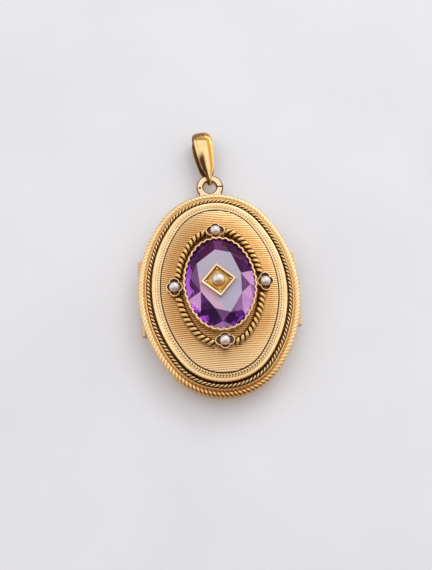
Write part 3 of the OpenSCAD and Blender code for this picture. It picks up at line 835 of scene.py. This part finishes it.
def rope_border():
    """Twisted wire that lies in the channel round the border."""
    turns, rings_per_turn = 64, 16
    low, high = box_mm("rope_border")
    radius = (high[2] - low[2]) / 2
    out = high[0] - radius - PANEL_HALF_WIDTH
    count = turns * rings_per_turn
    shares = np.arange(count) / count
    middle = np.full(count, (high[2] + low[2]) / 2)
    shape = Shape()
    twist_strands(shape, PANEL.places(shares, out), out, middle, radius, 2 * pi * turns * shares,
                  sides=10, fullness=0.64, groove=1.05, closed=True)
    mount(shape.build("rope_border", 80), "rope_border", "gold_rope")


def rope_wreath():
    """Thick twisted wire round the stone, in four lengths between the pearls."""
    lobes, rings_per_lobe, radius, pearl_room = 11, 14, 0.74, 1.88
    clear = pearl_room / WREATH.quarter()
    count = lobes * rings_per_lobe
    rings = np.arange(count + 1)
    shape = Shape()
    for quadrant in range(4):
        places = WREATH.places((quadrant + clear + (1 - 2 * clear) * rings / count) / 4)
        x, y, heading = places.T
        inner = dome_z(*around((x, y), -radius, heading)) - 0.1
        middle = np.maximum(dome_z(x, y), inner) + radius + GAP
        twist_strands(shape, places, 0, middle, radius, pi * rings / rings_per_lobe,
                      sides=14, fullness=0.74, groove=0.65, closed=False)
    mount(shape.build("rope_wreath", 80), "rope_wreath", "gold_rope")


# Stone and settings

def stone_bezel():
    """Closed setting with a scalloped edge that holds the stone."""
    scallops, columns_per_scallop = 40, 12
    low, foot, inner = box_mm("stone_bezel")[0][2], -0.15, -0.75
    count = scallops * columns_per_scallop
    bulges = np.sin(pi * (np.arange(count) % columns_per_scallop) / columns_per_scallop)
    sections = np.array([
        rounded([
            (foot, low, 0, 0.9), (foot, BEZEL_TOP_Z - 1.5, 0.3, 0.25), (0, BEZEL_TOP_Z - 0.8, 0.2, 0.1),
            (0.12 * bulge - 0.04, BEZEL_TOP_Z - 0.3, 0.1, 0.5 * (1 - bulge)),
            (0.26 * bulge - 0.26, BEZEL_TOP_Z, 0.1, 0.2 * (1 - bulge)),
            (0.32 * bulge - 0.56, BEZEL_TOP_Z - 0.02, 0.08, 0.2 * (1 - bulge)),
            (0.10 * bulge - 0.45, BEZEL_TOP_Z - 0.33, 0.04, 0.9),
            (-0.28, GIRDLE_Z - 0.03, 0.02, 1), (inner, GIRDLE_Z - 0.3, 0.02, 1), (inner, low, 0, 1),
        ], 3) for bulge in bulges
    ])
    shape = Shape()
    shape.grid(swept(BEZEL.places(np.arange(count) / count), sections), dark=sections[..., 2], warm=0.3)
    mount(shape.build("stone_bezel", 50), "stone_bezel", "gold_setting")


def amethyst():
    """Oval brilliant with an uneven old table. The faces under the crown wear the foil."""
    # Corners of the table: angle in degrees, and reach as a share of the girdle's
    corners = (
        (14, 0.63), (60, 0.73), (96, 0.72), (146, 0.76), (199, 0.61), (250, 0.62), (288, 0.72), (334, 0.65),
    )
    # How bright the facets are painted in each of sixteen directions, counterclockwise from the right:
    # painted shade and painted glints
    flashes = (0.95, 0.3, 0.15, 0.15, 0.75, 0.15, 0.0, 0.2, 0.7, 1.0, 0.4, 0.05, 0.85, 0.2, 1.0, 1.0)
    star_share, first_share, second_share = 0.86, 0.74, 0.44
    first_depth, second_depth = 0.46, 0.74
    girdle_top = GIRDLE_Z + GIRDLE_HEIGHT
    crown = STONE_HIGH[2] - girdle_top
    depth = GIRDLE_Z - STONE_LOW[2]
    half_length = STONE_HALF_WIDTH + STONE_STRETCH
    angles, shares = np.array(corners).T
    angles = np.radians(angles)

    def halfway(turns):
        """Halves of the steps from each angle to the next one round the stone."""
        return (np.roll(turns, -1) - turns) % (2 * pi) / 2

    middles = angles + halfway(angles)
    girdle_angles = np.stack([angles, middles], 1).ravel()
    slopes = (1 / (1 - shares) + 1 / (1 - np.roll(shares, -1))) / 2
    star_z = girdle_top + crown * (1 - star_share * np.cos(halfway(angles))) * slopes
    stone = bmesh.new()

    def ring(turns, reach, z):
        """Points at a share of the girdle's reach."""
        x, y = STONE_HALF_WIDTH * reach * np.cos(turns), half_length * reach * np.sin(turns)
        return [stone.verts.new(Vector(place) * MM) for place in joined(x, y, z)]

    table = ring(angles, shares, STONE_HIGH[2])
    stars = ring(middles, star_share, star_z)
    upper = ring(girdle_angles, 1, girdle_top)
    lower = ring(girdle_angles, 1, GIRDLE_Z)
    first = ring(girdle_angles + halfway(girdle_angles), first_share, GIRDLE_Z - first_depth * depth)
    second = ring(middles, second_share, GIRDLE_Z - second_depth * depth)
    culet = stone.verts.new(Vector((0, 0, STONE_LOW[2])) * MM)
    faces = [table]
    for k in range(8):
        after, last, mid, far = (k + 1) % 8, (k - 1) % 8, 2 * k + 1, (2 * k + 2) % 16
        faces += [
            (table[k], table[after], stars[k]), (table[k], stars[k], upper[2 * k]),
            (table[k], upper[2 * k], stars[last]), (stars[k], upper[mid], upper[2 * k]),
            (stars[k], upper[far], upper[mid]),
        ]
    crown_faces = len(faces)
    for k in range(16):
        after = (k + 1) % 16
        faces += [
            (upper[k], upper[after], lower[after], lower[k]),
            (lower[k], lower[after], first[k]), (lower[k], first[k], first[k - 1]),
        ]
    for k in range(8):
        faces += [
            (first[2 * k], first[2 * k + 1], second[k]), (first[2 * k], second[k], second[k - 1]),
            (first[2 * k], second[k - 1], first[2 * k - 1]), (second[k], culet, second[k - 1]),
        ]
    for corners_of_face in faces:
        stone.faces.new(corners_of_face)
    stone.faces.ensure_lookup_table()
    for face in stone.faces[crown_faces:]:
        face.material_index = 1
    bmesh.ops.recalc_face_normals(stone, faces=stone.faces)
    # The table is marked for its painted reflection, and each face for how bright it is painted.
    haze = [face.index == 0 for face in stone.faces]
    flash = []
    for face in stone.faces:
        middle = face.calc_center_median()
        turn = atan2(middle.y / half_length, middle.x / STONE_HALF_WIDTH)
        uneven = 0.76 + 0.24 * sin(2.4 * face.index)
        flash.append(flashes[round(turn / (2 * pi) * 16) % 16] * (0.3 + 0.7 * uneven))
    mesh = bpy.data.meshes.new("amethyst_stone")
    stone.to_mesh(mesh)
    stone.free()
    mark(mesh, "FACE", haze=haze, flash=flash)
    mount(add_object("amethyst_stone", mesh), "amethyst", "amethyst")
    mesh.materials.append(FOIL)


def turned_square(half, corner, spin):
    """Square outline with rounded corners, turned by spin."""
    points = []
    for turn in spin + full_turn(4):
        for t in np.linspace(0, pi / 2, 5):
            x, y = half - corner + corner * cos(t), half - corner + corner * sin(t)
            points.append((x * cos(turn) - y * sin(turn), x * sin(turn) + y * cos(turn)))
    return points


def plaque():
    """Square plate on its corner, with a raised border, a sunk floor and a bead in each corner."""
    low, high = box_mm("plaque")
    middle = (low + high) / 2
    spin = radians(48)
    half, border, floor_up, corner = 2.3, 0.42, 0.3, 0.12
    height = high[2] - low[2]
    # Inset, height, and dirt and shade
    levels = (
        (0.02, 0, 0), (0, 0.06, 0), (0, height - 0.07, 0), (0.06, height, 0), (border - 0.12, height, 0),
        (border - 0.05, height - 0.05, 0.1), (border, floor_up + 0.03, 0.9), (border + 0.05, floor_up, 0.9),
        (border + 0.5, floor_up, 0.5), (border + 0.9, floor_up + 0.04, 0.15),
        (half - 0.3, floor_up + 0.04, 0.15),
    )
    rows, dark, warm = [], [], []
    for inset, up, dirt_and_shade in levels:
        reach = half - inset
        outline = turned_square(reach, min(corner, reach / 3), spin)
        rows.append([(middle[0] + x, middle[1] + y, low[2] + up) for x, y in outline])
        dark.append([dirt_and_shade])
        warm.append([float(inset > border)])
    shape = Shape()
    shape.tube(rows, dark=dark, warm=warm)
    bead_radius, bead_bottom, rings = 0.3, low[2] + floor_up - 0.05, 7
    lifts = np.linspace(0, pi / 2 * 0.92, rings)
    profile = [(bead_radius * cos(t), bead_bottom + bead_radius * sin(t)) for t in lifts]
    reach = (half - border - bead_radius) * sqrt(2)
    for turn in spin + pi / 4 + full_turn(4):
        shape.turned(around(middle, reach, turn), profile, 16, np.linspace(0.9, 0, rings)[:, None])
    mount(shape.build("plaque_plate"), "plaque", "gold_setting")


def pearl(node, seed, gold_reflection=0.45):
    """Half-round pearl, a little out of true as natural ones are. Gold_reflection is how warm its near side
    is painted: a painted reflection of the gold.
    """
    low, high = box_mm(node)
    middle = (low + high) / 2
    radius = (high[0] - low[0]) / 2
    centre_z = high[2] - radius
    waviness = 0.012
    turns = full_turn(40)
    floor_angle = -asin(min((centre_z - low[2]) / radius, 1))
    rows, warm = [], []
    for lift in np.linspace(floor_angle, radians(88), 24):
        # The near side is painted warm: a painted reflection of the gold.
        warm.append(gold_reflection * held(-2.2 * np.sin(turns) * cos(lift) - 0.3))
        wave = 1 - waviness * (1 + np.sin(2 * turns + seed) * cos(lift))
        x, y = around(middle, radius * cos(lift) * wave, turns)
        rows.append(joined(x, y, centre_z + radius * sin(lift)))
    shape = Shape()
    shape.tube(rows, warm=warm)
    mount(shape.build(node + "_bead", 60), node, "pearl")


def collet(node, pearl_node):
    """Cup of four lobes with a thin bright rim, and four claws that hold the pearl."""
    low, high = box_mm(node)
    middle = (low + high) / 2
    lobe_radius = 0.95
    offsets = (high - low)[:2] / 2 - lobe_radius
    top = EDGE_Z + 2.6
    floor_z = top - 0.55
    turns = full_turn(144)
    across, along = abs(np.cos(turns)), abs(np.sin(turns))
    reach = np.maximum(*[
        ahead * offset + np.sqrt(lobe_radius ** 2 - np.minimum(aside * offset, lobe_radius) ** 2)
        for offset, ahead, aside in ((offsets[0], across, along), (offsets[1], along, across))
    ])
    # Rows of inset, height, cut and dark: the stem under the cup and the inside of the cup are painted dark,
    # as painted shade under the cup and round the pearl.
    levels = rounded([
        (0.3, low[2], 0, 0.9), (0.25, top - 0.85, 0.05, 0.9), (0.1, top - 0.8, 0.08, 0.5),
        (0, top - 0.3, 0.15, 0), (0.02, top, 0.06, 0),
        (0.17, top, 0.06, 0), (0.20, top - 0.2, 0.05, 0.7), (0.20, floor_z, 0.05, 1), (0.9, floor_z, 0, 1),
    ], 3, closed=False)
    inset, up, dark = levels.T[..., None]
    shape = Shape()
    shape.tube(joined(*around(middle, reach - inset, turns), up), dark=dark)

    claw_radius = 0.16
    claw_shoulder = high[2] - claw_radius
    pearl_low, pearl_high = box_mm(pearl_node)
    claw_place = (pearl_high[0] - pearl_low[0]) / 2 + claw_radius + 0.05
    lifts = np.radians([0, 20, 40, 60, 80])
    profile = [(claw_radius, floor_z - 0.05)]
    profile += [(claw_radius * cos(t), claw_shoulder + claw_radius * sin(t)) for t in lifts]
    dirt_and_shade = np.array([0.9, 0.3, 0, 0, 0, 0])[:, None]
    for turn in pi / 4 + full_turn(4):
        shape.turned(around(middle, claw_place, turn), profile, 14, dirt_and_shade)
    mount(shape.build(node + "_cup"), node, "gold_setting")


# Bail

def bail_painted_reflections(reach, spot, front):
    """Painted reflections on the outside of the bail: how dark and how warm it is painted. Reach is the
    distance from the pivot along the leaf, and spot goes across it from -1 on the left to 1 on the right."""
    # The bend at the top: a painted dark reflection, brown, paler on the right, and black at its very end
    brown = 0.68 - 0.4 * past(spot, 0.3, 0.2)
    black = before(spot, 0.55, 0.2) * past(reach, 9.05, 0.2)
    bend = brown * past(reach + 0.35 * spot, 7.5, 0.35) + black
    # A slanting painted dark reflection low on the left, and a painted dark reflection along the left edge
    low_left = before(reach - 1.6 * spot, 6.24, 1.6) * held(2 - abs(spot + 0.5) / 0.22)
    left_edge = past(-spot, 0.84, 0.06)
    # Two warm painted reflections in streaks, the right one stronger
    streaks = held(1.6 - abs(spot - 0.6) / 0.16) + 0.6 * held(1 - abs(spot + 0.6) / 0.12)
    marks = np.maximum(bend, 1.2 * np.maximum(low_left, left_edge))
    dark = np.maximum(np.where(front, marks, 0.2), 0.25 * streaks)
    return dark, np.maximum(streaks, bend)


def bail():
    """Folded, crowned leaf that loops through the ring and widens to its top."""
    # Distance from the pivot along the leaf, and width there
    widths = (
        (-1.3, 0.75), (0, 0.95), (0.6, 1.4), (1.9, 2.6), (4, 3.35), (6, 3.85), (7.2, 4), (8.4, 3.85),
        (9.2, 3.4), (10, 3.2),
    )
    edge, edge_round, crown, widest, inside_darkness = 0.25, 0.1, 0.1, 4, 0.5
    length, low_radius = 8.0, 1.03
    top_radius = RING_Z - edge - crown * widest
    columns, inside_columns = 21, 7

    # Loop seen from the side, as rows of along, up and heading out
    slope = acos((low_radius - top_radius) / length)

    def arc(start, radius, turns):
        return joined(*around((start, 0), radius, turns), turns)

    def leg(first, last, heading):
        share = np.linspace(0, 1, 30)[1:-1, None]
        return np.array([*first[:2], heading]) * (1 - share) + np.array([*last[:2], heading]) * share

    low_arc = arc(0, low_radius, np.linspace(slope, 2 * pi - slope, 40))
    top_arc = arc(length, top_radius, np.linspace(-slope, slope, 60))
    path = np.concatenate([
        low_arc, leg(low_arc[-1], top_arc[0], low_arc[-1, 2]),
        top_arc, leg(top_arc[-1], low_arc[0], low_arc[0, 2]),
    ])
    reach, rise, heading = path.T[..., None]

    # Across the leaf: the crowned outside from left to right, then the flat inside back
    width = smooth_table(reach, *zip(*widths))
    across = np.sin(np.linspace(-pi / 2, pi / 2, columns))
    inside = np.tile(np.linspace(0.97, -0.97, inside_columns), (len(path), 1))
    thick = edge - edge_round + edge_round * np.sqrt(1 - across ** 2) + crown * width * (1 - across ** 4)
    out = np.concatenate([thick, 0 * inside], 1)
    side = np.concatenate([np.tile(across, (len(path), 1)), inside], 1) * width / 2
    along, up = around((reach, rise), out, heading)
    lean = atan2(BAIL_AXIS[1], BAIL_AXIS[0])
    x = BAIL_PIVOT[0] + side * cos(lean) - along * sin(lean)
    y = BAIL_PIVOT[1] + side * sin(lean) + along * cos(lean)
    # The outside carries the painted reflections; the inside is darker all over.
    looks = [
        np.concatenate([outside, np.full(inside.shape, inside_darkness)], 1)
        for outside in bail_painted_reflections(reach, across, rise > 0)
    ]
    shape = Shape()
    shape.grid(joined(x, y, RING_Z + up), dark=looks[0], warm=looks[1])
    mount(shape.build("bail_leaf", 50), "bail", "gold_bail", "bail")


# Studio

def camera():
    """Camera at the photograph's angle, from above and a little in front.
    Its aim lies a few pixels from the middle of the picture."""
    pitch, roll, spin = radians(-20.85), radians(1.57), radians(4.77)
    distance = 180
    photo_height, aim_right, aim_down = 570, 3.7, 3.9
    target = Vector((0, 0, EDGE_Z))
    turn = Matrix.Rotation(pitch, 3, "X") @ Matrix.Rotation(roll, 3, "Y") @ Matrix.Rotation(spin, 3, "Z")
    data = bpy.data.cameras.new("camera")
    data.lens = 61.2
    data.sensor_width = 36
    data.shift_x = -aim_right / photo_height
    data.shift_y = aim_down / photo_height
    data.clip_start = 0.005
    data.clip_end = 20
    eye = add_object("camera", data)
    place = (turn.transposed() @ Vector((0, 0, distance)) + target) * MM
    eye.matrix_world = Matrix.Translation(place) @ turn.transposed().to_4x4()
    bpy.context.scene.camera = eye


def key_light():
    """Wide soft light from behind and to the right, turned to the locket."""
    place, target = Vector((150, 300, 260)), Vector((0, 0, 5))
    data = bpy.data.lights.new("key", "AREA")
    data.shape = "RECTANGLE"
    data.size = 360 * MM
    data.size_y = 160 * MM
    data.energy = 0.38
    data.color = (1.0, 0.985, 0.96)
    turn = (target - place).to_track_quat("-Z", "Y").to_matrix().to_4x4()
    add_object("key", data).matrix_world = Matrix.Translation(place * MM) @ turn


def sky():
    """Room light: a wide bright strip that runs overhead from side to side, dimmer in front and behind."""
    world = bpy.data.worlds.new("room")
    look = Look(world, "Generated", "Background")
    along = look.axes()["Y"]
    near, far = look.ranged(along, -0.6, -0.1), look.ranged(along, 0.62, 0.95, 1.0, 0.3)
    room = look.mixed(look.result("MULTIPLY", near, far), (0.30, 0.27, 0.26), (0.96, 0.96, 0.98))
    look.dress(look.shader, Color=room, Strength=1.1)
    bpy.context.scene.world = world


def floor():
    """Wide pale floor under the locket."""
    reach, drop = 1500, 0.02
    shape = Shape()
    corners = [[(x, y, -drop) for x in (-reach, reach)] for y in (-reach, reach)]
    shape.grid(corners, wrap_rows=False, wrap_columns=False)
    piece = shape.build("floor")
    piece.data.materials.append(floor_material())


camera()
sky()
floor()
key_light()
bpy.context.scene.view_settings.view_transform = "Standard"
case_shell()
knuckles("case_knuckles", (-2, 0, 2), SEAM_Z - 0.75, SEAM_Z - 0.05, 0, CASE)
hanging_ring()
thumb_lip("case_lip", SEAM_Z - 0.6, SEAM_Z - 0.15, CASE)
cover_rim()
cover_border()
cover_panel()
knuckles("cover_knuckles", (-1, 1), SEAM_Z, RIM_LOW_Z + 0.12, 0.35, COVER)
thumb_lip("cover_lip", SEAM_Z + 0.25, SEAM_Z + 0.7, COVER)
rope_border()
rope_wreath()
stone_bezel()
amethyst()
plaque()
for number, place in enumerate(("top", "right", "bottom", "left")):
    collet("collet_" + place, "pearl_" + place)
    pearl("pearl_" + place, number)
pearl("centre_pearl", 4, 0.9)
bail()
dress_node("photo_frame_back", "gold_frame")
dress_node("photo_frame_cover", "gold_frame")
dress_node("hinge_pin", "gold_pin")
